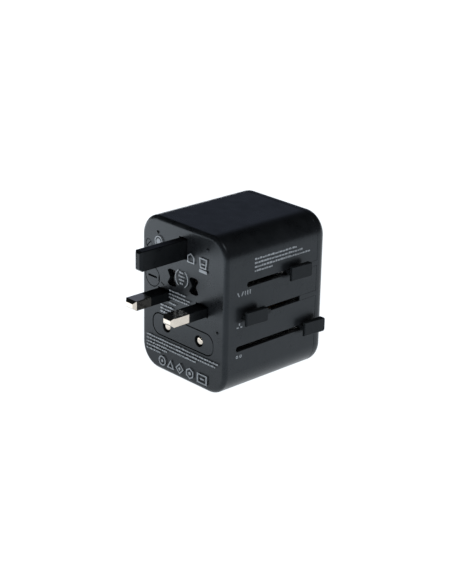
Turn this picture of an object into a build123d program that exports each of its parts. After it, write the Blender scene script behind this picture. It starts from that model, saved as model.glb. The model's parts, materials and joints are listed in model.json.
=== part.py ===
from build123d import *
from math import cos, radians, tan
import os

# Universal travel adapter, in millimetres. X runs across the plug face, Z is up, and the plug face
# looks along -Y. The origin is the centre of the flat bottom. "Depth" is measured from the plug
# face towards the socket side, and negative depths are in front of the plug face.

# Casing
width = 49.0
depth = 54.0
height = 64.5
corner_radius = 9.5
wall = 2.0
back_wall = 2.2
face_edge_radius = 1.8
back_edge_radius = 4.0
seam_radius = 0.2
lid_depth = 5.3
lip_length = 2.5
lip_thickness = 1.2

# Clearances
slide_gap = 0.3
fit_gap = 0.1
turn_gap = 0.05
pin_gap = 0.35

# British plug: three rigid pins on one carriage, shown extended
uk_line_z = 33.2
uk_pin_spacing = 22.2
uk_earth_rise = 22.2
uk_pin_width = 6.35
uk_pin_thickness = 4.0
uk_pin_length = 17.7
uk_pin_edge = 0.4
uk_pin_tip = 1.2
uk_earth_tip = 0.9
uk_sleeve_length = 9.3
uk_sleeve_wall = 0.6
uk_earth_width = 4.0
uk_earth_height = 8.0
uk_earth_length = 22.7
uk_travel = 23.0
uk_plate_depth = 4.0
uk_plate_thickness = 3.8
uk_tail = 2.0
uk_slot_z = 32.1
uk_shelf_end = 33.0
uk_stem_depth = 8.8

# American and Australian plug: two flat blades that turn in one carriage, shown retracted
us_blade_z = 41.5
us_spacing = 12.7
us_blade_width = 6.35
us_blade_thickness = 1.5
us_blade_length = 17.5
us_turn = 30.0
us_travel = 21.1
us_plate_depth = 31.0
us_plate_thickness = 7.0
us_shank_radius = 2.35
us_slot_z = 44.8
us_stem_depth = 32.4
clip_thickness = 0.5
clip_radius = 3.3

# European plug: a block that slides out of the face, and two pins that slide out of the block
eu_z = 19.8
eu_spacing = 19.0
eu_block_width = 35.4
eu_block_height = 9.0
eu_block_corner = 4.0
eu_block_length = 20.4
eu_block_flange = 0.6
eu_block_travel = 16.0
eu_pin_travel = 18.7
eu_pin_radius = 2.0
eu_pin_core_radius = 1.5
eu_sleeve_step = 0.1
eu_tip_length = 9.0
eu_bore_gap = 0.4
eu_pin_recess = 0.3
eu_plate_depth = 42.5
eu_plate_thickness = 5.0
eu_slot_z = 19.4
eu_stem_depth = 40.8

# Slider knobs and their stems
slot_height = 2.2
slot_end_gap = 0.5
stem_length = 7.6
stem_height = 1.8
knob_length = 10.6
knob_height = 5.8
knob_overhang = 0.7
knob_proud = 4.1
knob_slope = 0.9
knob_rim = 1.2
knob_undercut = 1.2
knob_lift = 1.15
knob_press = 1.0
uk_tab_length = 3.2
head_height = 5.2
head_length_margin = 0.8
head_width = 6.0
foot_length = 5.0
foot_height = 3.4
foot_thickness = 1.0
press_spring_radius = 1.5
press_spring_wire = 0.25

# Fuse, screw and stand-off pips on the plug face
fuse_x = -18.0
fuse_z = 38.9
fuse_cap_radius = 4.3
fuse_radius = 2.5
fuse_length = 20.0
fuse_barrel_radius = 3.6
fuse_bore_radius = 2.8
screw_x = -20.2
screw_z = 52.0
screw_head_radius = 1.8
screw_shank_radius = 0.9
screw_length = 9.0
pip_radius = 0.75
pip_places = ((-14.8, 58.0), (14.0, 58.4), (-19.8, 26.4), (19.8, 26.4))

# Socket side
socket_z = 30.0
us_ground_rise = 11.9
socket_plate_width = 35.0
socket_plate_height = 35.6
socket_plate_corner = 6.0
socket_plate_z = 41.2
socket_recess = 0.3
socket_plate_thickness = 2.9
socket_flange = 1.2
jaw_depth = 42.0
jaw_length = 6.5
strip = 0.6

# Charging ports
port_z = 9.85
board_z = 5.4
board_thickness = 1.6
board_width = 38.0
usb_a_x = 12.8
usb_a_width = 13.1
usb_a_height = 5.7
usb_a_length = 14.0
usb_c_width = 8.94
usb_c_height = 3.2
usb_c_length = 7.3
sheet = 0.35
port_recess = 0.4
led_z = 14.6

# Values that follow from those above
seam = depth - lid_depth
side_x = width / 2
inner_x = side_x - wall
head_x = inner_x - slide_gap
head_inner_x = head_x - head_width
pin_x = uk_pin_spacing / 2
uk_earth_z = uk_line_z + uk_earth_rise
eu_travel = eu_block_travel + eu_pin_travel
socket_face = depth - socket_recess
socket_back = socket_face - socket_plate_thickness
uk_plate_back = uk_plate_depth + uk_plate_thickness
us_plate_back = us_plate_depth + us_plate_thickness
eu_plate_back = eu_plate_depth + eu_plate_thickness
shelf = 1.0
block_low = eu_z - eu_block_height / 2
block_high = eu_z + eu_block_height / 2
uk_bar_low = uk_line_z - uk_pin_thickness / 2 - 0.5
uk_bar_high = uk_line_z + uk_pin_thickness / 2 + 0.6
spine_left = -13.9
spine_right = -10.3


def block(x0, x1, d0, d1, z0, z1):
    """Box between two x values, two depths and two heights."""
    centre = Pos((x0 + x1) / 2, (d0 + d1) / 2 - depth / 2, (z0 + z1) / 2)
    return centre * Box(x1 - x0, d1 - d0, z1 - z0)


def rod(x, z, radius, d0, d1):
    """Cylinder that runs along the depth."""
    return Pos(x, (d0 + d1) / 2 - depth / 2, z) * Rot(90, 0, 0) * Cylinder(radius, d1 - d0)


def cross_rod(d, z, radius, x0, x1):
    """Cylinder that runs across the casing."""
    return Pos((x0 + x1) / 2, d - depth / 2, z) * Rot(0, 90, 0) * Cylinder(radius, x1 - x0)


def prism(sketch, d0, d1):
    """Sketch of x and z values, extruded between two depths."""
    plane = Plane(origin=(0, d1 - depth / 2, 0), x_dir=(1, 0, 0), z_dir=(0, -1, 0))
    return extrude(plane * sketch, amount=d1 - d0)


def front_edges(solid):
    return solid.faces().sort_by(Axis.Y)[0].edges()


def back_edges(solid):
    return solid.faces().sort_by(Axis.Y)[-1].edges()


def outline(inset=0.0):
    """Outline of the casing, or of its inside."""
    size_x = width - 2 * inset
    size_z = height - 2 * inset
    return Pos(0, height / 2) * RectangleRounded(size_x, size_z, corner_radius - inset)


def rectangle(x, z, size_x, size_z, angle=0.0):
    return Pos(x, z) * Rot(0, 0, angle) * Rectangle(size_x, size_z)


def rounded(x, z, size_x, size_z, radius):
    return Pos(x, z) * RectangleRounded(size_x, size_z, radius)


def circle(x, z, radius):
    return Pos(x, z) * Circle(radius)


def bow_tie(x, z, gap):
    """Hole swept by a blade that turns both ways about its middle."""
    half = us_blade_thickness / 2 + gap
    reach = us_blade_width / 2 + gap
    lean = tan(radians(us_turn))
    waist = half / cos(radians(us_turn))
    flare = waist + reach * lean
    upper = [(waist, 0), (flare, reach), (-flare, reach)]
    lower = [(-waist, 0), (-flare, -reach), (flare, -reach)]
    wedge = Polygon(*upper, *lower, align=None)
    return Pos(x, z) * (wedge & Circle(reach + 0.25))


def eu_outline(gap=0.0):
    radius = eu_block_corner + gap
    return rounded(0, eu_z, eu_block_width + 2 * gap, eu_block_height + 2 * gap, radius)


def uk_pin_outline(x):
    return rounded(x, uk_line_z, uk_pin_width, uk_pin_thickness, uk_pin_edge)


def uk_neck_outline(x):
    return rectangle(x, uk_line_z, uk_pin_width - 2 * uk_sleeve_wall, uk_pin_thickness - 2 * uk_sleeve_wall)


def uk_earth_outline():
    return rounded(0, uk_earth_z, uk_earth_width, uk_earth_height, uk_pin_edge)


def slot_cut(z, front, back):
    """Slot through the right wall, round at its front end."""
    low = z - slot_height / 2
    radius = slot_height / 2
    straight = block(inner_x - 1, side_x + 1, front + radius, back, low, low + slot_height)
    return straight + cross_rod(front + radius, z, radius, inner_x - 1, side_x + 1)


def slot_range(stem_depth, travel_out, travel_in):
    """Front and back ends of a slot, from its stem's place and travel."""
    front = stem_depth - travel_out - slot_end_gap
    back = stem_depth + stem_length + travel_in + slide_gap
    return front, back


slots = (
    (us_slot_z, *slot_range(us_stem_depth, us_travel, 0)),
    (uk_slot_z, *slot_range(uk_stem_depth, 0, uk_travel)),
    (eu_slot_z, *slot_range(eu_stem_depth, eu_travel, 0)),
)


# --- Casing ---

def make_main_shell():
    shell = prism(outline(), 0, seam)
    shell = fillet(front_edges(shell), face_edge_radius)
    shell = fillet(back_edges(shell), seam_radius)
    shell -= prism(outline(wall), wall, seam)
    line_size = (uk_pin_width + 2 * pin_gap, uk_pin_thickness + 2 * pin_gap)
    holes = rectangle(-pin_x, uk_line_z, *line_size) + rectangle(pin_x, uk_line_z, *line_size)
    holes += rectangle(0, uk_earth_z, uk_earth_width + 2 * pin_gap, uk_earth_height + 2 * pin_gap)
    holes += bow_tie(-us_spacing / 2, us_blade_z, slide_gap)
    holes += bow_tie(us_spacing / 2, us_blade_z, slide_gap)
    holes += eu_outline(slide_gap)
    holes += circle(fuse_x, fuse_z, fuse_cap_radius + fit_gap)
    shell -= prism(holes, -1, wall + 1)
    shell -= rod(screw_x, screw_z, screw_head_radius + fit_gap, -1, wall / 2)
    shell -= rod(screw_x, screw_z, screw_shank_radius + fit_gap, 0, wall + 1)
    tick = rectangle(fuse_x + fuse_cap_radius + 1.8, fuse_z - 1.5, 2.2, 0.4, -20)
    shell -= prism(tick, -1, 0.3)
    for z, front, back in slots:
        shell -= slot_cut(z, front, seam + 1)
    for x, z in pip_places:
        shell += Pos(x, 0.2 - depth / 2, z) * Sphere(pip_radius)
    return shell


def socket_opening(gap=0.0):
    size_x = socket_plate_width + 2 * gap
    size_z = socket_plate_height + 2 * gap
    return rounded(0, socket_plate_z, size_x, size_z, socket_plate_corner + gap)


def make_socket_cover():
    cover = prism(outline(), seam, depth)
    cover = fillet(back_edges(cover), back_edge_radius)
    cover = fillet(front_edges(cover), seam_radius)
    cover -= prism(outline(wall), seam, depth - back_wall)
    inside = outline(wall + fit_gap + lip_thickness)
    lip = prism(outline(wall + fit_gap) - inside, seam - lip_length, seam + 1)
    lip += prism(outline(wall / 2) - inside, seam, seam + 1)
    lip -= block(0, inner_x, 0, depth, corner_radius, height - corner_radius)
    cover += lip
    for z, front, back in slots:
        if seam - back > 0.5:
            low = z - slot_height / 2 + fit_gap
            high = z + slot_height / 2 - fit_gap
            cover += block(inner_x, side_x, back, seam + 0.5, low, high)
    cover -= prism(socket_opening(fit_gap), depth - back_wall - 1, depth + 1)
    ports = rectangle(-usb_a_x, port_z, usb_a_width + 0.3, usb_a_height + 0.3)
    ports += rectangle(usb_a_x, port_z, usb_a_width + 0.3, usb_a_height + 0.3)
    ports += rounded(0, port_z, usb_c_width + 0.3, usb_c_height + 0.3, usb_c_height / 2)
    ports += circle(0, led_z, 0.8 + fit_gap)
    return cover - prism(ports, depth - back_wall - 1, depth + 1)


def apertures(gap=0.0):
    """Outlet holes for round, flat and rectangular plug pins."""
    more = 0.6 + 2 * gap
    holes = rectangle(0, socket_z + uk_earth_rise, uk_earth_width + more, uk_earth_height + more)
    holes += circle(0, socket_z + us_ground_rise, 2.6 + gap)
    holes += rectangle(0, socket_z + 14.0, 2.2 + 2 * gap, 10.0 + 2 * gap)
    for side in (-1, 1):
        flat = side * us_spacing / 2
        holes += rectangle(side * pin_x, socket_z, uk_pin_width + more, uk_pin_thickness + more)
        holes += circle(side * eu_spacing / 2, socket_z, 2.5 + gap)
        holes += rectangle(flat, socket_z, 2.2 + 2 * gap, 7.2 + 2 * gap)
        holes += rectangle(flat + side * 0.5, socket_z, 2.1 + 2 * gap, 7.0 + 2 * gap, side * us_turn)
    return holes


def make_socket_insert():
    insert = prism(socket_opening(), socket_back, socket_face)
    insert += prism(socket_opening(socket_flange), socket_back, depth - back_wall - 0.05)
    insert -= prism(apertures(), socket_back - 1, depth)
    return insert - prism(apertures(0.25), socket_face - 0.3, depth)


# --- Contacts and fuse ---

def make_jaw(side):
    """C-shaped spring that grips a line or neutral pin, open at both ends."""
    low = socket_z - uk_pin_thickness / 2 - 0.35
    high = socket_z + uk_pin_thickness / 2 + 0.35
    near = us_spacing / 2 + 1.4
    far = pin_x + uk_pin_width / 2 + 0.25
    end = jaw_depth + jaw_length
    jaw = block(near, far + strip, jaw_depth, end, low - strip, high + strip)
    jaw -= block(near - 1, far, jaw_depth - 1, end + 1, low, high)
    return jaw if side > 0 else mirror(jaw, Plane.YZ)


def make_rail(side):
    """Long strip beside the slides, ending at its jaw."""
    far = pin_x + uk_pin_width / 2 + 0.25
    low = block_high + slide_gap + shelf
    rail = block(far, far + strip, 8, jaw_depth, low, low + 2.4)
    return rail if side > 0 else mirror(rail, Plane.YZ)


def make_earth_jaw():
    low = socket_z + 10.0
    high = socket_z + uk_earth_rise + uk_earth_height / 2 + 0.4
    end = jaw_depth + jaw_length
    gap = uk_earth_width / 2 + 0.7
    jaw = block(-gap - strip, gap + strip, jaw_depth, end, low, high + strip)
    return jaw - block(-gap, gap, jaw_depth - 1, end + 1, low - 1, high)


def make_earth_rail():
    gap = uk_earth_width / 2 + 0.7
    low = us_slot_z + head_height / 2 + shelf - 0.8
    return block(-gap - strip, gap + strip, 10, jaw_depth, low, low + strip)


def make_fuse_cap():
    cap = rod(fuse_x, fuse_z, fuse_cap_radius, 0, wall - 0.2)
    cap = chamfer(front_edges(cap), 0.3)
    cap += rod(fuse_x, fuse_z, fuse_bore_radius - 0.2, wall - 0.3, wall + 1.0)
    cap -= block(fuse_x - 2.6, fuse_x + 2.6, -1, 0.9, fuse_z - 0.45, fuse_z + 0.45)
    rim = fuse_x + fuse_cap_radius
    notch = block(rim - 0.7, rim + 1, -1, 0.9, fuse_z - 1.2, fuse_z + 1.2)
    return cap - notch


def make_fuse_holder():
    end = wall + 1.2 + fuse_length + 1.6
    barrel = rod(fuse_x, fuse_z, fuse_barrel_radius, wall, end)
    return barrel - rod(fuse_x, fuse_z, fuse_bore_radius, wall - 1, end - 1.0)


def make_fuse_tube():
    start = wall + 1.4
    tube = rod(fuse_x, fuse_z, fuse_radius - 0.15, start, start + fuse_length)
    for d in (start, start + fuse_length - 5.5):
        tube += rod(fuse_x, fuse_z, fuse_radius, d, d + 5.5)
    return tube


def make_fuse_contact(start, length):
    ring = rod(fuse_x, fuse_z, fuse_bore_radius - 0.02, start, start + length)
    return ring - rod(fuse_x, fuse_z, fuse_radius + 0.05, start - 1, start + length + 1)


# --- Inner frames ---

def make_slide_frame():
    """Shelves and side walls on one cross plate, which guide the British and American slides."""
    plate_front = us_stem_depth + stem_length + head_length_margin + slide_gap
    plate_back = jaw_depth - 0.1
    floor = block_high + slide_gap + shelf
    plate = prism(outline(wall + fit_gap), plate_front, plate_back)
    frame = plate & block(-side_x, side_x, 0, depth, floor, height)
    under_uk = uk_bar_low - slide_gap
    front = uk_plate_depth
    shelf_right = head_inner_x - slide_gap
    frame += block(spine_left - 3.4, shelf_right, front, uk_shelf_end, under_uk - shelf, under_uk)
    frame += block(-4.4, 4.4, uk_shelf_end - 1, plate_back, under_uk - shelf, under_uk)
    under_us = uk_bar_high + 1.6
    frame += block(spine_right + 0.4, head_x, 10, plate_back, under_us - shelf, under_us)
    over_us = us_slot_z + head_height / 2 + shelf - 0.8
    frame += block(spine_right + 0.4, shelf_right, 10, plate_back, over_us - shelf, over_us)
    over_earth = uk_earth_z + uk_earth_height / 2 + 0.8 + slide_gap
    frame += block(spine_left - 3.4, 6, front, plate_back, over_earth, over_earth + shelf)
    left = spine_left - 3.4
    barrel_top = fuse_z + fuse_barrel_radius + 0.5
    frame += block(left, left + shelf, front, plate_back, barrel_top, over_earth)
    frame += block(screw_x, left + 0.5, 3, 16, screw_z - 0.8, screw_z + 0.8)
    frame += rod(screw_x, screw_z, 1.9, wall + 0.05, 16)
    frame -= rod(screw_x, screw_z, screw_shank_radius + 0.02, 0, 14)
    frame -= prism(apertures(0.4), plate_front - 1, plate_back + 1)
    far = pin_x + uk_pin_width / 2 + 0.25
    for side in (-1, 1):
        centre = side * (far + strip / 2)
        frame -= block(centre - 0.5, centre + 0.5, 0, depth, floor - 1, floor + 2.6)
    frame -= block(-4, 4, plate_front - 1, plate_back + 1, over_us, over_us + strip + 0.1)
    barrel = rod(fuse_x, fuse_z, fuse_barrel_radius + fit_gap, 0, 30)
    return frame - barrel


def make_eu_tunnel():
    """Two decks and side walls that guide the European block and its carriage."""
    low = block_low - slide_gap
    high = block_high + slide_gap
    front = wall + 0.4
    back = eu_stem_depth - head_length_margin
    edge = inner_x - fit_gap
    inside = eu_block_width / 2 + eu_block_flange + slide_gap
    tunnel = block(-edge, edge, front, back, low - shelf, low)
    tunnel += block(-edge, edge, front, back, high, high + shelf)
    tunnel += block(-inside - shelf, -inside, front, back, low, high)
    ledge_low = eu_slot_z - head_height / 2 - slide_gap
    ledge_high = eu_slot_z + head_height / 2 + slide_gap
    tunnel += block(inside, inside + shelf, front, back, low, ledge_low)
    tunnel += block(inside, inside + shelf, front, back, ledge_high, high)
    return tunnel


# --- Slider parts shared by the three plugs ---

def slider_head(stem_depth, z):
    """Carriage end behind the slot, with a pocket for the knob's stem, foot and spring."""
    front = stem_depth - head_length_margin
    back = stem_depth + stem_length + head_length_margin
    head = block(head_inner_x, head_x, front, back, z - head_height / 2, z + head_height / 2)
    middle = stem_depth + stem_length / 2
    lip = head_x - 1.0
    mouth = stem_height / 2 + fit_gap
    start = stem_depth - fit_gap
    end = stem_depth + stem_length + fit_gap
    head -= block(lip - knob_press - 0.3, head_x + 1, start, end, z - mouth, z + mouth)
    room = foot_height / 2 + fit_gap
    reach = foot_length / 2 + fit_gap
    head -= block(head_inner_x + 0.8, lip, middle - reach, middle + reach, z - room, z + room)
    return head


def make_knob(stem_depth, z, tab_length=0.0):
    """Thumb knob, thin at its rim and higher at the back, on a stem and foot. One has a low tab behind it."""
    start = stem_depth - knob_overhang
    end = start + knob_length
    low = z - knob_height / 2
    high = z + knob_height / 2
    under = side_x + knob_lift
    rim = side_x + knob_proud - knob_slope - knob_rim
    middle_y = depth / 2
    profile = Polygon(
        (under, start + knob_undercut - middle_y),
        (rim, start - middle_y),
        (rim + knob_rim, start - middle_y),
        (side_x + knob_proud, end - middle_y),
        (side_x + knob_proud - knob_rim, end - middle_y),
        (under, end - knob_undercut - middle_y),
        align=None,
    )
    knob = extrude(Plane.XY.offset(low) * profile, knob_height)
    knob = chamfer(knob.faces().sort_by(Axis.X)[0].edges().filter_by(Axis.Y), knob_undercut * 0.6)
    back_corners = knob.faces().sort_by(Axis.Y)[-1].edges().filter_by(Axis.X)
    knob = fillet(back_corners, 0.9)
    knob = fillet(knob.faces().sort_by(Axis.X)[-1].edges(), 0.4)
    tab_end = start + knob_length + tab_length
    if tab_length:
        knob += block(under, under + 0.9, tab_end - tab_length - 2, tab_end, z - 0.8, z + 0.8)
    middle = stem_depth + stem_length / 2
    foot = head_x - 1.0 - foot_thickness - 0.1
    stem_end = stem_depth + stem_length
    knob += block(foot, under + 0.5, stem_depth, stem_end, z - stem_height / 2, z + stem_height / 2)
    knob -= block(foot - 1, head_x - 1.1, 0, middle - foot_length / 2, low, high)
    knob -= block(foot - 1, head_x - 1.1, middle + foot_length / 2, depth, low, high)
    half = foot_length / 2
    wide = foot_height / 2
    knob += block(foot, foot + foot_thickness, middle - half, middle + half, z - wide, z + wide)
    return knob


def make_press_spring(stem_depth, z):
    """Coil between the knob's foot and the bottom of its pocket."""
    start = head_inner_x + 0.8
    end = head_x - 1.0 - foot_thickness - 0.1
    length = end - start - 2 * press_spring_wire
    radius = press_spring_radius - press_spring_wire
    path = Helix(pitch=length / 3, height=length, radius=radius)
    section = Plane(origin=path @ 0, z_dir=path % 0) * Circle(press_spring_wire)
    coil = sweep(section, path=path, is_frenet=True)
    middle = stem_depth + stem_length / 2 - depth / 2
    return Pos(start + press_spring_wire, middle, z) * Rot(0, 90, 0) * coil


# --- British plug ---

def make_uk_carriage():
    left = -pin_x - uk_pin_width / 2 - 0.6
    bar = block(left, head_inner_x + 0.5, uk_plate_depth, uk_plate_back, uk_bar_low, uk_bar_high)
    arm_high = uk_slot_z + head_height / 2
    arm_back = uk_stem_depth + stem_length + head_length_margin
    arm = block(head_inner_x - 1.2, head_inner_x + 0.5, uk_plate_depth, arm_back, uk_bar_low, arm_high)
    top = uk_earth_z + uk_earth_height / 2 + 0.8
    spine = block(spine_left, spine_right, uk_plate_depth, uk_plate_back, uk_bar_high - 0.5, top)
    bridge_low = uk_earth_z - uk_earth_height / 2 - 0.8
    bridge_right = uk_earth_width / 2 + 1.2
    bridge = block(spine_left, bridge_right, uk_plate_depth, uk_plate_back, bridge_low, top)
    carriage = bar + arm + spine + bridge + slider_head(uk_stem_depth, uk_slot_z)
    for x in (-pin_x, pin_x):
        carriage -= prism(uk_pin_outline(x), 0, depth)
    return carriage - prism(uk_earth_outline(), 0, depth)


def make_uk_pin(x):
    """Flat metal pin: bare tip, thinner neck under the sleeve, and a tail behind the carriage."""
    join = -uk_sleeve_length
    tip = prism(rectangle(x, uk_line_z, uk_pin_width, uk_pin_thickness), -uk_pin_length, join)
    tip = fillet(chamfer(front_edges(tip), uk_pin_tip).edges().filter_by(Axis.Y), uk_pin_edge)
    neck = prism(uk_neck_outline(x), join, uk_plate_depth)
    root = prism(uk_pin_outline(x), uk_plate_depth, uk_plate_back)
    tail = prism(uk_neck_outline(x), uk_plate_back, uk_plate_back + uk_tail)
    return tip + neck + root + tail


def make_uk_sleeve(x):
    return prism(uk_pin_outline(x) - uk_neck_outline(x), -uk_sleeve_length, uk_plate_depth)


def make_uk_earth_pin():
    pin = prism(rectangle(0, uk_earth_z, uk_earth_width, uk_earth_height), -uk_earth_length, uk_plate_back)
    return fillet(chamfer(front_edges(pin), uk_earth_tip).edges().filter_by(Axis.Y), uk_pin_edge)


# --- American and Australian plug ---

def make_us_carriage():
    edge = us_spacing / 2 + us_blade_width / 2 + 0.3
    low = us_blade_z - 3.5
    high = us_blade_z + 3.6
    body = block(-edge, edge, us_plate_depth, us_plate_back, low, high)
    arm_low = us_slot_z - head_height / 2
    arm_back = us_stem_depth + stem_length + head_length_margin
    arm = block(edge - 0.5, head_inner_x + 0.5, us_plate_depth, us_plate_back, arm_low, high)
    arm += block(head_inner_x - 1.2, head_inner_x + 0.5, us_plate_depth, arm_back, arm_low, high)
    carriage = body + arm + slider_head(us_stem_depth, us_slot_z)
    for side in (-1, 1):
        x = side * us_spacing / 2
        carriage -= rod(x, us_blade_z, us_shank_radius + turn_gap, us_plate_depth - 1, us_plate_back + 1)
    return carriage - rod(0, socket_z + us_ground_rise, 2.8, us_plate_depth - 1, us_plate_back + 1)


def make_us_blade(x):
    """Flat blade on a round shank, which turns in the carriage and is held by a clip."""
    tip = us_travel - us_blade_length
    section = rectangle(x, us_blade_z, us_blade_thickness, us_blade_width)
    blade = prism(section, tip, us_plate_depth - slide_gap)
    blade = chamfer(front_edges(blade), 0.45)
    clip_front = us_plate_back + 0.2
    shank_end = clip_front + clip_thickness + 0.8
    blade += rod(x, us_blade_z, us_shank_radius, us_plate_depth - 1.2, shank_end)
    groove = rod(x, us_blade_z, us_shank_radius + 1, clip_front, clip_front + clip_thickness)
    groove -= rod(x, us_blade_z, us_shank_radius - 0.5, clip_front - 1, clip_front + clip_thickness + 1)
    return blade - groove


def make_clip(x):
    """Open spring clip in the groove of a blade's shank."""
    front = us_plate_back + 0.2
    back = front + clip_thickness
    clip = rod(x, us_blade_z, clip_radius, front, back)
    clip -= rod(x, us_blade_z, us_shank_radius - 0.5, front - 1, back + 1)
    return clip - block(x - 1.2, x + 1.2, front - 1, back + 1, us_blade_z - 4, us_blade_z - 1)


# --- European plug ---

def make_eu_block():
    boss = prism(eu_outline(), 0, eu_block_length)
    flange = rounded(0, eu_z, eu_block_width + 2 * eu_block_flange, eu_block_height, eu_block_corner)
    boss += prism(flange, eu_block_length - 2, eu_block_length)
    boss = chamfer(front_edges(boss), 0.25)
    for side in (-1, 1):
        boss -= rod(side * eu_spacing / 2, eu_z, eu_pin_radius + eu_bore_gap, -1, eu_block_length + 1)
    return boss


def make_eu_carriage():
    edge = eu_spacing / 2 + eu_pin_radius + 1.5
    low = eu_z - 3.6
    high = eu_z + 3.6
    plate = block(-edge, head_inner_x + 0.5, eu_plate_depth, eu_plate_back, low, high)
    head = slider_head(eu_stem_depth, eu_slot_z)
    carriage = plate + head
    for side in (-1, 1):
        x = side * eu_spacing / 2
        carriage -= rod(x, eu_z, eu_pin_core_radius, eu_plate_depth - 1, eu_plate_back + 1)
    return carriage


def make_eu_pin(x):
    tip_end = eu_pin_recess + eu_tip_length
    tip = rod(x, eu_z, eu_pin_radius, eu_pin_recess, tip_end)
    tip = fillet(front_edges(tip), 1.2)
    return tip + rod(x, eu_z, eu_pin_core_radius, tip_end, eu_plate_back + 1.0)


def make_eu_sleeve(x):
    start = eu_pin_recess + eu_tip_length
    sleeve = rod(x, eu_z, eu_pin_radius - eu_sleeve_step, start, eu_plate_depth)
    return sleeve - rod(x, eu_z, eu_pin_core_radius, start - 1, eu_plate_depth + 1)


# --- Fasteners ---

def make_face_screw():
    screw = rod(screw_x, screw_z, screw_head_radius, 0.05, wall / 2)
    screw = chamfer(front_edges(screw), 0.2)
    screw += rod(screw_x, screw_z, screw_shank_radius, wall / 2 - 0.2, wall + screw_length)
    slot = Pos(screw_x, -depth / 2, screw_z) * Rot(0, 45, 0) * Box(0.5, 1.1, 2 * screw_head_radius + 1)
    return screw - slot


# --- Charging electronics ---

def make_board():
    board_top = board_z + board_thickness
    return block(-board_width / 2, board_width / 2, 6, seam + 1.5, board_z, board_top)


def make_usb_a_shell(x):
    back = depth - port_recess
    outer = rounded(x, port_z, usb_a_width, usb_a_height, 0.5)
    inner = rounded(x, port_z, usb_a_width - 2 * sheet, usb_a_height - 2 * sheet, 0.3)
    shell = prism(outer, back - usb_a_length, back)
    return shell - prism(inner, back - usb_a_length + sheet, back + 1)


def make_usb_a_tongue(x):
    back = depth - port_recess
    inner = back - usb_a_length
    base = block(x - 5.6, x + 5.6, inner + sheet, inner + 4, port_z - 2.4, port_z + 2.4)
    return base + block(x - 5.6, x + 5.6, back - usb_a_length + 4, back - 1.2, port_z + 0.2, port_z + 2.0)


def make_usb_c_shell():
    back = depth - port_recess
    outer = rounded(0, port_z, usb_c_width, usb_c_height, usb_c_height / 2 - 0.01)
    inner_height = usb_c_height - 2 * sheet
    inner = rounded(0, port_z, usb_c_width - 2 * sheet, inner_height, inner_height / 2 - 0.01)
    shell = prism(outer, back - usb_c_length, back)
    shell -= prism(inner, back - usb_c_length + sheet, back + 1)
    board_top = board_z + board_thickness
    for x in (-3.2, 3.2):
        shell += block(x - 0.3, x + 0.3, back - 6, back - 4.6, board_top, port_z - usb_c_height / 2 + 0.1)
    return shell


def make_usb_c_tongue():
    back = depth - port_recess
    base = block(-3.2, 3.2, back - usb_c_length + sheet, back - 5.2, port_z - 1.2, port_z + 1.2)
    return base + block(-3.3, 3.3, back - 5.3, back - 1.0, port_z - 0.35, port_z + 0.35)


def make_transformer_core():
    board_top = board_z + board_thickness
    core = block(-16, -4, 9, 23, board_top, board_top + 6.2)
    core -= block(-14.2, -11.2, 8, 24, board_top + 1.6, board_top + 4.6)
    return core - block(-8.8, -5.8, 8, 24, board_top + 1.6, board_top + 4.6)


def make_transformer_winding():
    board_top = board_z + board_thickness
    low = board_top + 1.8
    winding = block(-14.0, -11.4, 7.4, 24.6, low, low + 2.6)
    winding += block(-8.6, -6.0, 7.4, 24.6, low, low + 2.6)
    for d in (7.4, 23.2):
        winding += block(-14.0, -6.0, d, d + 1.4, low, low + 2.6)
    return winding


def make_capacitors():
    radius = 2.9
    z = board_z + board_thickness + radius
    return [rod(x, z, radius, 10, 22) for x in (2.5, 9.5)]


def make_light_pipe():
    lens = rod(0, led_z, 0.8, depth - 8.0, depth - 0.1)
    return lens + block(-0.8, 0.8, depth - 9.4, depth - 7.8, 8.6, led_z + 0.8)


def make_status_led():
    board_top = board_z + board_thickness
    return block(-0.8, 0.8, depth - 9.4, depth - 7.8, board_top, board_top + 1.0)


left_pin = -pin_x
right_pin = pin_x
left_blade = -us_spacing / 2
right_blade = us_spacing / 2
left_round = -eu_spacing / 2
right_round = eu_spacing / 2
fuse_start = wall + 1.4

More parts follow.
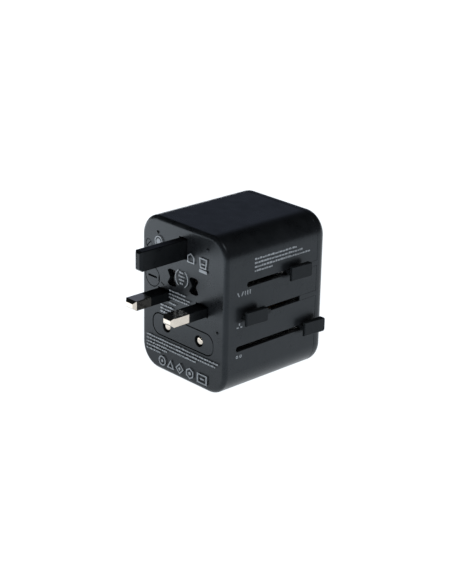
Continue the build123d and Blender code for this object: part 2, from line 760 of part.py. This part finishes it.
nodes = {
    "main_shell": make_main_shell(),
    "socket_cover": make_socket_cover(),
    "socket_insert": make_socket_insert(),
    "line_jaw": make_jaw(-1),
    "neutral_jaw": make_jaw(1),
    "earth_jaw": make_earth_jaw(),
    "line_rail": make_rail(-1),
    "neutral_rail": make_rail(1),
    "earth_rail": make_earth_rail(),
    "fuse_cap": make_fuse_cap(),
    "fuse_holder": make_fuse_holder(),
    "fuse_tube": make_fuse_tube(),
    "fuse_front_contact": make_fuse_contact(fuse_start, 3.0),
    "fuse_rear_contact": make_fuse_contact(fuse_start + fuse_length - 3.4, 3.0),
    "face_screw": make_face_screw(),
    "slide_frame": make_slide_frame(),
    "eu_tunnel": make_eu_tunnel(),
    "usb_board": make_board(),
    "usb_a_shells": [make_usb_a_shell(-usb_a_x), make_usb_a_shell(usb_a_x)],
    "usb_a_tongues": [make_usb_a_tongue(-usb_a_x), make_usb_a_tongue(usb_a_x)],
    "usb_c_shell": make_usb_c_shell(),
    "usb_c_tongue": make_usb_c_tongue(),
    "transformer_core": make_transformer_core(),
    "transformer_winding": make_transformer_winding(),
    "filter_capacitors": make_capacitors(),
    "status_led": make_status_led(),
    "light_pipe": make_light_pipe(),
    "uk_carriage": make_uk_carriage(),
    "uk_line_pin": make_uk_pin(left_pin),
    "uk_neutral_pin": make_uk_pin(right_pin),
    "uk_line_sleeve": make_uk_sleeve(left_pin),
    "uk_neutral_sleeve": make_uk_sleeve(right_pin),
    "uk_earth_pin": make_uk_earth_pin(),
    "uk_knob": make_knob(uk_stem_depth, uk_slot_z, uk_tab_length),
    "uk_knob_spring": make_press_spring(uk_stem_depth, uk_slot_z),
    "us_carriage": make_us_carriage(),
    "us_left_blade": make_us_blade(left_blade),
    "us_right_blade": make_us_blade(right_blade),
    "us_left_clip": make_clip(left_blade),
    "us_right_clip": make_clip(right_blade),
    "us_knob": make_knob(us_stem_depth, us_slot_z),
    "us_knob_spring": make_press_spring(us_stem_depth, us_slot_z),
    "eu_block": make_eu_block(),
    "eu_carriage": make_eu_carriage(),
    "eu_left_pin": make_eu_pin(left_round),
    "eu_right_pin": make_eu_pin(right_round),
    "eu_left_sleeve": make_eu_sleeve(left_round),
    "eu_right_sleeve": make_eu_sleeve(right_round),
    "eu_knob": make_knob(eu_stem_depth, eu_slot_z),
    "eu_knob_spring": make_press_spring(eu_stem_depth, eu_slot_z),
}

os.makedirs("parts", exist_ok=True)
for name, solid in nodes.items():
    shape = Compound(children=solid) if isinstance(solid, list) else solid
    export_step(shape, f"parts/{name}.step")
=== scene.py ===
import json
import math
import random

import bmesh
import bpy
from mathutils import Matrix, Vector


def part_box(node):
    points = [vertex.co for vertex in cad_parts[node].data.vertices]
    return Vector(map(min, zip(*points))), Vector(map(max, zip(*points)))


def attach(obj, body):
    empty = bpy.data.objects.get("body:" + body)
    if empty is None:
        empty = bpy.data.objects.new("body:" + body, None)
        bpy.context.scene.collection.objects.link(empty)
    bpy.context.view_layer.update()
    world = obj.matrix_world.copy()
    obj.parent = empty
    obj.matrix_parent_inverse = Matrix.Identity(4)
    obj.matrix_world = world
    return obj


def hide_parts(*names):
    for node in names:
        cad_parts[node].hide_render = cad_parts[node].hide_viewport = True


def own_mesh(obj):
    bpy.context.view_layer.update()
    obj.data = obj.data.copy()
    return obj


# Looks for the universal travel adapter. Everything is in metres, in the frame of the CAD model:
# X runs across the plug face, Z is up, and the plug face looks along -Y.

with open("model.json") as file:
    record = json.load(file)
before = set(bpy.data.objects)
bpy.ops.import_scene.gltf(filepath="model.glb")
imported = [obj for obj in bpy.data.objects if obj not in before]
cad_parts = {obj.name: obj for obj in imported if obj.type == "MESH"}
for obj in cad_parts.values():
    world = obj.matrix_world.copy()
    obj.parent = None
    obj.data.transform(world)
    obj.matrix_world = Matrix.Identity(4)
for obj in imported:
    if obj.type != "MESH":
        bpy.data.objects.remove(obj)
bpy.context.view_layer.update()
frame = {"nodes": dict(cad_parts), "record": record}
nodes = frame["nodes"]
scene = bpy.context.scene

MM = 0.001
shell_low, shell_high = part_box("main_shell")
cover_low, cover_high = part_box("socket_cover")
FACE_Y = shell_low.y
SIDE_X = shell_high.x
BACK_Y = cover_high.y
HEIGHT = shell_high.z - shell_low.z


# ---------------------------------------------------------------- materials

SCUFF_DEPTH = 0.004 * MM
LINE_DEPTH = 0.0006 * MM
SCRATCH_DEPTH = 0.0004 * MM
TURN_DEPTH = 0.06 * MM
EDGE_RADIUS = 0.25 * MM
WAVE_LENGTH = 0.314  # from one band of a wave texture to the next, at scale 1
COOL_SHEEN = (0.80, 0.91, 1.0, 1.0)


def new_material(name):
    """An empty node material, with its tree, its shader and the place on the object in metres."""
    material = bpy.data.materials.new(name)
    material.use_nodes = True
    tree = material.node_tree
    shader = tree.nodes["Principled BSDF"]
    where = tree.nodes.new("ShaderNodeTexCoord")
    return material, tree, shader, where.outputs["Object"]


def stretched(tree, where, scale):
    """The place multiplied by scale along each axis, so that what is under 1 is drawn out."""
    mapping = tree.nodes.new("ShaderNodeMapping")
    mapping.inputs["Scale"].default_value = scale
    tree.links.new(where, mapping.inputs["Vector"])
    return mapping.outputs["Vector"]


def noise(tree, where, size, detail=3.0, rough=0.55):
    """Noise whose blotches are about size metres across, from 0 to 1."""
    texture = tree.nodes.new("ShaderNodeTexNoise")
    texture.inputs["Scale"].default_value = 1.0 / size
    texture.inputs["Detail"].default_value = detail
    texture.inputs["Roughness"].default_value = rough
    tree.links.new(where, texture.inputs["Vector"])
    return texture.outputs["Fac"]


def cells(tree, where, size):
    """The distance to the middle of the nearest of many cells, each about size metres across."""
    texture = tree.nodes.new("ShaderNodeTexVoronoi")
    texture.inputs["Scale"].default_value = 1.0 / size
    tree.links.new(where, texture.inputs["Vector"])
    return texture.outputs["Distance"]


def spread(tree, value, low, high, to_low, to_high):
    """The value between low and high, carried to the range to_low..to_high."""
    ranged = tree.nodes.new("ShaderNodeMapRange")
    tree.links.new(value, ranged.inputs["Value"])
    for socket, number in (("From Min", low), ("From Max", high), ("To Min", to_low), ("To Max", to_high)):
        ranged.inputs[socket].default_value = number
    return ranged.outputs["Result"]


def blend_colour(tree, factor, first, second):
    """From the first colour, at factor 0, to the second, at 1. Each is a colour or a node's output."""
    mix = tree.nodes.new("ShaderNodeMix")
    mix.data_type = "RGBA"
    tree.links.new(factor, mix.inputs[0])
    for socket, colour in ((mix.inputs[6], first), (mix.inputs[7], second)):
        if isinstance(colour, bpy.types.NodeSocket):
            tree.links.new(colour, socket)
        else:
            socket.default_value = (*colour, 1.0)
    return mix.outputs[2]


def maths(tree, operation, first, second=None):
    """The result of a Math node on one or two values. Each is a number or a node's output."""
    node = tree.nodes.new("ShaderNodeMath")
    node.operation = operation
    for socket, value in zip(node.inputs, (first, second)):
        if value is None:
            continue
        if isinstance(value, bpy.types.NodeSocket):
            tree.links.new(value, socket)
        else:
            socket.default_value = value
    return node.outputs[0]


def edge_mask(tree, radius):
    """Near 1 on sharp edges and 0 on flat faces, from how far a rounded normal leans off the true one."""
    rounded = tree.nodes.new("ShaderNodeBevel")
    rounded.samples = 4
    rounded.inputs["Radius"].default_value = radius
    geometry = tree.nodes.new("ShaderNodeNewGeometry")
    dot = tree.nodes.new("ShaderNodeVectorMath")
    dot.operation = "DOT_PRODUCT"
    tree.links.new(rounded.outputs["Normal"], dot.inputs[0])
    tree.links.new(geometry.outputs["Normal"], dot.inputs[1])
    return spread(tree, dot.outputs["Value"], 0.99, 0.82, 0.0, 1.0)


def bump(tree, height, distance, below=None):
    """The normal of a surface raised by up to distance metres, on top of the normal below."""
    node = tree.nodes.new("ShaderNodeBump")
    node.inputs["Strength"].default_value = 1.0
    node.inputs["Distance"].default_value = distance
    tree.links.new(height, node.inputs["Height"])
    if below is not None:
        tree.links.new(below, node.inputs["Normal"])
    return node.outputs["Normal"]


def moulded(name, colour, roughness, grain=0.22, depth=0.012, wear=0.35, specular=0.5, dust=0.10):
    """Moulded plastic: spark-eroded grain, slow changes of gloss, fine scuffs and rubbed edges.

    grain and depth are the grain's size and height in millimetres. wear is how far edges are rubbed pale,
    and dust is how far the colour varies.
    """
    material, tree, shader, where = new_material(name)
    fine = noise(tree, where, grain * MM, 2.0)
    slow = noise(tree, where, 7 * MM, 4.0)
    scuffs = noise(tree, stretched(tree, where, (1.0, 5.0, 14.0)), 2.4 * MM, 5.0, 0.7)
    scuff = spread(tree, scuffs, 0.60, 0.74, 0.0, 1.0)
    edge = edge_mask(tree, EDGE_RADIUS)
    rubbed = maths(tree, "MULTIPLY", edge, spread(tree, slow, 0.42, 0.62, 0.25, 1.0))
    lighter = tuple(channel * (1 + dust * 2.2) + 0.003 for channel in colour)
    darker = tuple(channel * (1 - dust) for channel in colour)
    pale = tuple(channel * 1.25 + 0.035 * wear for channel in colour)
    base = blend_colour(tree, spread(tree, slow, 0.32, 0.68, 0.0, 1.0), darker, lighter)
    base = blend_colour(tree, maths(tree, "MULTIPLY", rubbed, wear), base, pale)
    tree.links.new(base, shader.inputs["Base Color"])
    gloss = spread(tree, slow, 0.3, 0.7, roughness - 0.05, roughness + 0.06)
    gloss = maths(tree, "ADD", gloss, spread(tree, fine, 0.3, 0.7, -0.03, 0.03))
    gloss = maths(tree, "ADD", gloss, maths(tree, "MULTIPLY", scuff, 0.06))
    gloss = maths(tree, "SUBTRACT", gloss, maths(tree, "MULTIPLY", rubbed, 0.12 * wear))
    tree.links.new(gloss, shader.inputs["Roughness"])
    shader.inputs["Specular IOR Level"].default_value = specular
    shader.inputs["Specular Tint"].default_value = COOL_SHEEN
    grained = bump(tree, fine, depth * MM)
    tree.links.new(bump(tree, scuffs, SCUFF_DEPTH, grained), shader.inputs["Normal"])
    return material


def drawn_metal(name, colour, roughness, along, tint=0.08, line=0.09):
    """Rolled or drawn metal with fine lines along one axis, a few scratches and uneven brightness."""
    material, tree, shader, where = new_material(name)
    scale = [1.0, 1.0, 1.0]
    scale["xyz".index(along)] = 0.06
    lines = noise(tree, stretched(tree, where, scale), line * MM, 3.0, 0.6)
    cloud = noise(tree, where, 3.5 * MM, 4.0, 0.6)
    scratch = noise(tree, stretched(tree, where, (0.35, 0.5, 3.0)), 0.5 * MM, 2.0)
    dark = tuple(channel * (1 - 2.4 * tint) for channel in colour)
    bright = tuple(min(1.0, channel * (1 + tint)) for channel in colour)
    base = blend_colour(tree, spread(tree, cloud, 0.3, 0.66, 0.0, 1.0), dark, bright)
    tree.links.new(base, shader.inputs["Base Color"])
    shader.inputs["Metallic"].default_value = 1.0
    gloss = spread(tree, lines, 0.3, 0.7, roughness * 0.75, roughness * 1.3)
    gloss = maths(tree, "ADD", gloss, spread(tree, cloud, 0.3, 0.7, -0.03, 0.05))
    tree.links.new(gloss, shader.inputs["Roughness"])
    ground = bump(tree, lines, LINE_DEPTH)
    tree.links.new(bump(tree, scratch, SCRATCH_DEPTH, ground), shader.inputs["Normal"])
    return material


def grainy(name, colour, other, roughness, size, depth, coat=0.0):
    """A body of two mixed tones with a granular surface: ceramic, ferrite, laminate, tape, ink."""
    material, tree, shader, where = new_material(name)
    tone = noise(tree, where, size * MM, 4.0, 0.6)
    speck = cells(tree, where, size * 0.35 * MM)
    base = blend_colour(tree, spread(tree, tone, 0.3, 0.7, 0.0, 1.0), colour, other)
    tree.links.new(base, shader.inputs["Base Color"])
    gloss = spread(tree, tone, 0.3, 0.7, roughness - 0.06, roughness + 0.08)
    tree.links.new(gloss, shader.inputs["Roughness"])
    shader.inputs["Coat Weight"].default_value = coat
    grained = bump(tree, tone, depth * MM)
    tree.links.new(bump(tree, speck, 0.25 * depth * MM, grained), shader.inputs["Normal"])
    return material


def wound(name, colour, gap_colour, turn):
    """Tape laid in turns, one above the other, each turn millimetres tall."""
    material, tree, shader, where = new_material(name)
    bands = tree.nodes.new("ShaderNodeTexWave")
    bands.bands_direction = "Z"
    bands.inputs["Scale"].default_value = WAVE_LENGTH / (turn * MM)
    bands.inputs["Distortion"].default_value = 0.4
    tree.links.new(where, bands.inputs["Vector"])
    cloud = noise(tree, where, 1.5 * MM)
    base = blend_colour(tree, spread(tree, bands.outputs["Fac"], 0.05, 0.35, 0.0, 1.0), gap_colour, colour)
    tree.links.new(base, shader.inputs["Base Color"])
    tree.links.new(spread(tree, cloud, 0.3, 0.7, 0.22, 0.4), shader.inputs["Roughness"])
    tree.links.new(bump(tree, bands.outputs["Fac"], TURN_DEPTH), shader.inputs["Normal"])
    return material


CASING_BLACK = (0.0115, 0.0130, 0.0150)
INNER_BLACK = (0.010, 0.0115, 0.013)
SLEEVE_BLACK = (0.006, 0.007, 0.008)
PORT_BLACK = (0.015, 0.016, 0.018)
FRAME_GREY = (0.50, 0.50, 0.48)

finishes = {
    "casing_plastic": moulded(
        "casing_plastic", CASING_BLACK, 0.30, grain=0.24, depth=0.004, wear=0.15, specular=0.30),
    "insert_plastic": moulded(
        "insert_plastic", INNER_BLACK, 0.40, grain=0.30, depth=0.006, wear=0.25, specular=0.36),
    "knob_plastic": moulded(
        "knob_plastic", INNER_BLACK, 0.46, grain=0.26, depth=0.005, wear=0.45, specular=0.17),
    "screw_plastic": moulded(
        "screw_plastic", INNER_BLACK, 0.34, grain=0.24, depth=0.004, wear=0.5, specular=0.36),
    "sleeve_plastic": moulded(
        "sleeve_plastic", SLEEVE_BLACK, 0.32, grain=0.35, depth=0.003, wear=0.3, specular=0.13),
    "frame_plastic": moulded(
        "frame_plastic", FRAME_GREY, 0.5, grain=0.3, depth=0.012, wear=0.0, specular=0.5, dust=0.03),
    "port_plastic": moulded("port_plastic", PORT_BLACK, 0.45, grain=0.25, depth=0.008, wear=0.2),
    "brass_strip": drawn_metal("brass_strip", (0.74, 0.55, 0.27), 0.28, "y", 0.12),
    "port_steel": drawn_metal("port_steel", (0.66, 0.66, 0.67), 0.27, "x", 0.08),
    "spring_steel": drawn_metal("spring_steel", (0.58, 0.58, 0.60), 0.24, "x", 0.08),
    "pin_nickel": drawn_metal("pin_nickel", (0.62, 0.565, 0.49), 0.12, "y", 0.05),
    "fuse_ceramic": grainy(
        "fuse_ceramic", (0.80, 0.78, 0.73), (0.86, 0.85, 0.81), 0.42, size=2.0, depth=0.01),
    "ferrite": grainy("ferrite", (0.055, 0.055, 0.062), (0.10, 0.10, 0.11), 0.62, size=0.5, depth=0.03),
    "board_laminate": grainy(
        "board_laminate", (0.020, 0.120, 0.050), (0.035, 0.175, 0.075), 0.35, size=1.2, depth=0.01, coat=0.3),
    "winding_tape": wound("winding_tape", (0.74, 0.56, 0.12), (0.36, 0.25, 0.05), 0.9),
    "capacitor_sleeve": grainy(
        "capacitor_sleeve", (0.035, 0.055, 0.17), (0.05, 0.075, 0.22), 0.24, size=3.0, depth=0.006, coat=0.4),
    "lens_plastic": grainy(
        "lens_plastic", (0.74, 0.78, 0.82), (0.80, 0.84, 0.88), 0.16, size=1.5, depth=0.003, coat=0.5),
    "print_ink": grainy("print_ink", (0.29, 0.32, 0.35), (0.40, 0.43, 0.46), 0.55, size=0.4, depth=0.006),
}

for row in frame["record"]["subparts"]:
    mesh = nodes[row["node"]].data
    mesh.materials.clear()
    mesh.materials.append(finishes[row["material_slot"]])


# ---------------------------------------------------------------- knob springs

def pressed_spring(line):
    """A copy of the spring under a slider's knob, which moves with the slider; the CAD spring is hidden."""
    node = nodes[f"{line}_knob_spring"]
    spring = bpy.data.objects.new(f"{line}_return_spring", node.data.copy())
    scene.collection.objects.link(spring)
    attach(spring, f"{line}_slide")
    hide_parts(node.name)
    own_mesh(spring)


for line in ("uk", "us", "eu"):
    pressed_spring(line)


# ---------------------------------------------------------------- printed marks

PRINT_RISE = 0.025 * MM
PRINT_SINK = 0.02 * MM


class Sheet:
    """Printed marks on one flat face, built as thin raised prisms in one mesh."""

    def __init__(self, name, origin, across, outward):
        self.name = name
        self.mesh = bmesh.new()
        self.origin = Vector(origin)
        self.across = Vector(across)
        self.outward = Vector(outward)

    def place(self, u, v, rise):
        return self.origin + self.across * (u * MM) + Vector((0, 0, v * MM)) + self.outward * rise

    def prism(self, points):
        low = [self.mesh.verts.new(self.place(u, v, -PRINT_SINK)) for u, v in points]
        top = [self.mesh.verts.new(self.place(u, v, PRINT_RISE)) for u, v in points]
        self.mesh.faces.new(top)
        self.mesh.faces.new(low[::-1])
        for i in range(len(points)):
            j = (i + 1) % len(points)
            self.mesh.faces.new((low[i], low[j], top[j], top[i]))

    def ring(self, outer, inner):
        """A flat ring between two closed outlines with the same number of points."""
        count = len(outer)
        rows = [
            [self.mesh.verts.new(self.place(u, v, rise)) for u, v in points]
            for points, rise in (
                (outer, -PRINT_SINK), (outer, PRINT_RISE), (inner, PRINT_RISE), (inner, -PRINT_SINK)
            )
        ]
        for first, second in zip(rows, rows[1:] + rows[:1]):
            for i in range(count):
                j = (i + 1) % count
                self.mesh.faces.new((first[i], first[j], second[j], second[i]))

    def bar(self, u0, u1, v0, v1):
        self.prism([(u0, v0), (u1, v0), (u1, v1), (u0, v1)])

    def row(self, u0, u1, v, tall, rng, shortest=0.35, longest=1.5, space=0.3):
        """A row of short dashes, from u0 to u1, centred on v."""
        u = u0
        while u < u1 - 0.3:
            end = min(u + rng.uniform(shortest, longest), u1)
            height = tall * rng.choice((0.72, 0.86, 1.0))
            self.bar(u, end, v - tall / 2, v - tall / 2 + height)
            u = end + space * rng.uniform(0.7, 1.3)

    def done(self, body):
        bmesh.ops.recalc_face_normals(self.mesh, faces=self.mesh.faces)
        data = bpy.data.meshes.new(self.name)
        self.mesh.to_mesh(data)
        self.mesh.free()
        piece = bpy.data.objects.new(self.name, data)
        scene.collection.objects.link(piece)
        data.materials.append(finishes["print_ink"])
        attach(piece, body)
        return piece


def arc(u, v, radius, start, end, count):
    """Points along an arc about u, v, from start to end in degrees."""
    return [
        (u + radius * math.cos(math.radians(start + (end - start) * i / count)),
         v + radius * math.sin(math.radians(start + (end - start) * i / count)))
        for i in range(count + 1)
    ]


def circle_points(u, v, radius, count=40):
    return arc(u, v, radius, 0, 360, count)[:-1]


def polygon_points(u, v, radius, sides, turn=90.0):
    return arc(u, v, radius, turn, turn + 360, sides)[:-1]


def band(sheet, u, v, radius, thickness, start, end, count=24):
    """A curved stroke about a centre."""
    sheet.prism(arc(u, v, radius + thickness / 2, start, end, count)
                + arc(u, v, radius - thickness / 2, end, start, count))


def hollow(sheet, points, u, v, share):
    """An outline stroke: the same shape at full size and at share of it."""
    sheet.ring(points, [(u + (a - u) * share, v + (b - v) * share) for a, b in points])


# Plug face, read from the front: u is x and v is height, both in millimetres.
# The rows of dashes stand for lines of text.
face_sheet = Sheet("face_print", (0, FACE_Y, 0), (1, 0, 0), (0, -1, 0))
rng = random.Random(7)

for v, u1 in ((13.7, 21.5), (12.2, 19.6), (10.7, 8.7), (9.3, -8.5), (7.8, -12.5)):
    face_sheet.row(-21.0, u1, v, 0.72, rng)
for v, u1 in ((36.2, 2.5), (34.7, 5.0), (33.3, 4.0), (31.0, -3.5)):
    face_sheet.row(-7.5, u1, v, 0.68, rng)
for v, u1 in ((28.8, -5.0), (27.4, -6.0), (26.0, -8.0)):
    face_sheet.row(-12.5, u1, v, 0.68, rng)

# Five plain pictograms along the bottom.
TARGET = (-11.5, 4.7)
TRIANGLE = (-6.4, 4.2)
DIAMOND = (-1.0, 4.7)
HEXAGON = (5.0, 4.7)
FRAMED_BAR = (12.1, 4.7)
hollow(face_sheet, circle_points(*TARGET, 2.1), *TARGET, 0.74)
face_sheet.prism(circle_points(*TARGET, 0.6, 24))
hollow(face_sheet, polygon_points(*TRIANGLE, 2.5, 3), *TRIANGLE, 0.60)
hollow(face_sheet, polygon_points(*DIAMOND, 2.4, 4), *DIAMOND, 0.70)
face_sheet.prism(polygon_points(*DIAMOND, 0.8, 4))
hollow(face_sheet, polygon_points(*HEXAGON, 2.4, 6, 30), *HEXAGON, 0.74)
face_sheet.prism(polygon_points(*HEXAGON, 0.8, 6, 30))
hollow(face_sheet, [(9.2, 2.7), (15.0, 2.7), (15.0, 6.7), (9.2, 6.7)], *FRAMED_BAR, 0.74)
face_sheet.bar(11.0, 13.2, 4.4, 5.0)

# Rating block in the middle: two arcs around stacked marks.
RATING = (-0.2, 43.0)
for start, end in ((120, 240), (-60, 60)):
    band(face_sheet, *RATING, 3.6, 0.35, start, end)
for v, half in ((45.4, 1.2), (43.9, 1.7), (42.4, 1.5), (40.9, 1.0)):
    face_sheet.row(RATING[0] - half, RATING[0] + half, v, 0.7, rng, 0.3, 0.9, 0.25)

# Round filled mark at the upper left, and a house and a bin at the upper right.
SEAL = (-13.8, 54.5)
HOUSE = (5.0, 52.6)
BIN = (12.0, 52.6)
hollow(face_sheet, circle_points(*SEAL, 2.3), *SEAL, 0.80)
face_sheet.prism(circle_points(*SEAL, 1.25))
hollow(face_sheet, [(3.0, 50.8), (7.0, 50.8), (7.0, 53.4), (5.0, 54.9), (3.0, 53.4)], *HOUSE, 0.76)
hollow(face_sheet, [(10.3, 50.4), (13.7, 50.4), (14.2, 54.6), (9.8, 54.6)], *BIN, 0.74)
face_sheet.bar(11.1, 12.9, 51.9, 52.4)
face_sheet.bar(9.85, 14.15, 48.7, 49.9)
face_sheet.done("casing")

# Right side: u is the depth from the plug face.
side_sheet = Sheet("side_print", (SIDE_X, FACE_Y, 0), (0, 1, 0), (1, 0, 0))
for v, u1 in ((54.3, 37.5), (52.7, 41.0), (51.1, 45.0), (49.5, 24.6)):
    side_sheet.row(15.2, u1, v, 0.78, rng)


def pin_sign(sheet, u, v, kind):
    """A small plug diagram beside a slot: slanted, upright or square pins, or two rings."""
    if kind == "slanted":
        sheet.prism([(u, v + 0.8), (u + 0.45, v + 0.9), (u + 1.25, v - 0.8), (u + 0.8, v - 0.9)])
        sheet.prism([(u + 2.9, v + 0.9), (u + 3.35, v + 0.8), (u + 2.55, v - 0.9), (u + 2.1, v - 0.8)])
    if kind == "upright":
        for offset in (0.0, 1.3):
            sheet.bar(u + offset, u + offset + 0.5, v - 0.9, v + 0.9)
    if kind == "square":
        sheet.bar(u + 1.2, u + 1.8, v + 0.1, v + 1.1)
        for offset in (0.0, 2.0):
            sheet.bar(u + offset, u + offset + 1.0, v - 0.95, v - 0.4)
    if kind == "round":
        for offset in (0.5, 2.4):
            hollow(sheet, circle_points(u + offset, v, 0.62, 24), u + offset, v, 0.45)


pin_sign(side_sheet, 6.3, 41.8, "slanted")
side_sheet.bar(10.3, 10.7, 40.9, 42.7)
pin_sign(side_sheet, 11.5, 41.8, "upright")
pin_sign(side_sheet, 6.3, 29.0, "square")
pin_sign(side_sheet, 6.3, 16.2, "round")
side_sheet.done("casing")


# ---------------------------------------------------------------- floor, light and camera

# The paper is lit through from below. Its strength is PAPER_RIGHT behind and to the right, and rises to
# PAPER_LEFT between GLOW_FROM and GLOW_TO metres towards the front left. Beneath the object's middle it is
# SHADE of that, a painted shade that stands in for the shadow the object casts on the paper, and it is back
# to the whole from SHADE_FROM to SHADE_TO of the way out to the walls.
PAPER_RIGHT = 1.05
PAPER_LEFT = 2.4
GLOW_FROM = 0.05
GLOW_TO = 0.15
SHADE = 0.05
SHADE_FROM = 0.45
SHADE_TO = 0.70
FLOOR_HALF = 4.0
floor_mesh = bpy.data.meshes.new("floor")
floor_build = bmesh.new()
corners = [
    floor_build.verts.new((x * FLOOR_HALF, y * FLOOR_HALF, 0))
    for x, y in ((-1, -1), (1, -1), (1, 1), (-1, 1))
]
floor_build.faces.new(corners)
floor_build.to_mesh(floor_mesh)
floor_build.free()
floor = bpy.data.objects.new("floor", floor_mesh)
scene.collection.objects.link(floor)
paper, paper_tree, paper_shader, paper_where = new_material("floor_paper")
paper_tone = noise(paper_tree, paper_where, 60 * MM)
paper_grey = blend_colour(paper_tree, paper_tone, (0.30, 0.30, 0.30), (0.32, 0.32, 0.32))
paper_tree.links.new(paper_grey, paper_shader.inputs["Base Color"])
paper_shader.inputs["Roughness"].default_value = 0.9
paper_shader.inputs["Specular IOR Level"].default_value = 0.0
slant = paper_tree.nodes.new("ShaderNodeVectorMath")
slant.operation = "DOT_PRODUCT"
slant.inputs[1].default_value = (-0.73, -0.68, 0.0)
paper_tree.links.new(paper_where, slant.inputs[0])
glow = spread(paper_tree, slant.outputs["Value"], GLOW_FROM, GLOW_TO, PAPER_RIGHT, PAPER_LEFT)
split = paper_tree.nodes.new("ShaderNodeSeparateXYZ")
paper_tree.links.new(paper_where, split.inputs[0])
aside = maths(paper_tree, "DIVIDE", maths(paper_tree, "ABSOLUTE", split.outputs["X"]), SIDE_X)
along = maths(paper_tree, "DIVIDE", maths(paper_tree, "ABSOLUTE", split.outputs["Y"]), BACK_Y)
outward = maths(paper_tree, "MAXIMUM", aside, along)
# Painted shade: the paper's glow is dimmed beneath the object, where its own shadow would fall.
under = spread(paper_tree, outward, SHADE_FROM, SHADE_TO, SHADE, 1.0)
paper_tree.links.new(maths(paper_tree, "MULTIPLY", glow, under), paper_shader.inputs["Emission Strength"])
paper_shader.inputs["Emission Color"].default_value = (0.96, 1.0, 1.04, 1.0)
floor_mesh.materials.append(paper)

world = bpy.data.worlds.new("studio")
scene.world = world
world.use_nodes = True
world_shade = world.node_tree.nodes["Background"]
world_shade.inputs["Color"].default_value = (0.75, 0.90, 1.0, 1.0)
world_shade.inputs["Strength"].default_value = 0.012

MIDDLE = Vector((0.0, 0.0, HEIGHT / 2))


def softbox(name, around, above, away, wide, tall, power, colour=(1.0, 1.0, 1.0)):
    """A soft light aimed at the object's middle, away metres from it and above degrees up.

    around is its bearing: 0 is in front of the plug face, and 90 is towards +X.
    """
    bearing, rise = math.radians(around), math.radians(above)
    way = Vector((math.sin(bearing) * math.cos(rise), -math.cos(bearing) * math.cos(rise), math.sin(rise)))
    light = bpy.data.lights.new(name, "AREA")
    light.shape = "RECTANGLE"
    light.size = wide
    light.size_y = tall
    light.energy = power
    light.color = colour
    lamp = bpy.data.objects.new(name, light)
    lamp.location = MIDDLE + way * away
    lamp.rotation_euler = way.to_track_quat("Z", "Y").to_euler()
    scene.collection.objects.link(lamp)


SKY_BLUE = (0.80, 0.92, 1.25)
softbox("back_wall", around=-133, above=21, away=1.0, wide=0.9, tall=0.5, power=0.21, colour=SKY_BLUE)
softbox("over_box", around=98, above=57, away=0.8, wide=0.13, tall=0.13, power=1.0)

AZIMUTH = math.radians(46.759)
ELEVATION = math.radians(21.332)
ROLL = math.radians(1.082)
DISTANCE = 608.124 * MM
SHIFT_ACROSS = -2.998 * MM
SHIFT_UP = -1.561 * MM
FOCAL_PIXELS = 1523.755
IMAGE_TALL = 584
SENSOR_TALL = 36.0

back = Vector((
    math.sin(AZIMUTH) * math.cos(ELEVATION),
    -math.cos(AZIMUTH) * math.cos(ELEVATION),
    math.sin(ELEVATION),
))
level = Vector((math.cos(AZIMUTH), math.sin(AZIMUTH), 0.0))
upright = level.cross(-back)
across = level * math.cos(ROLL) + upright * math.sin(ROLL)
up = -level * math.sin(ROLL) + upright * math.cos(ROLL)
camera_data = bpy.data.cameras.new("camera")
camera_data.sensor_fit = "VERTICAL"
camera_data.sensor_height = SENSOR_TALL
camera_data.lens = FOCAL_PIXELS / IMAGE_TALL * SENSOR_TALL
camera_data.clip_start = 0.01
camera_data.clip_end = 20.0
camera = bpy.data.objects.new("camera", camera_data)
turn = Matrix((across, up, back)).transposed().to_4x4()
spot = MIDDLE + back * DISTANCE + across * SHIFT_ACROSS + up * SHIFT_UP
camera.matrix_world = Matrix.Translation(spot) @ turn
scene.collection.objects.link(camera)
scene.camera = camera
scene.view_settings.view_transform = "Standard"
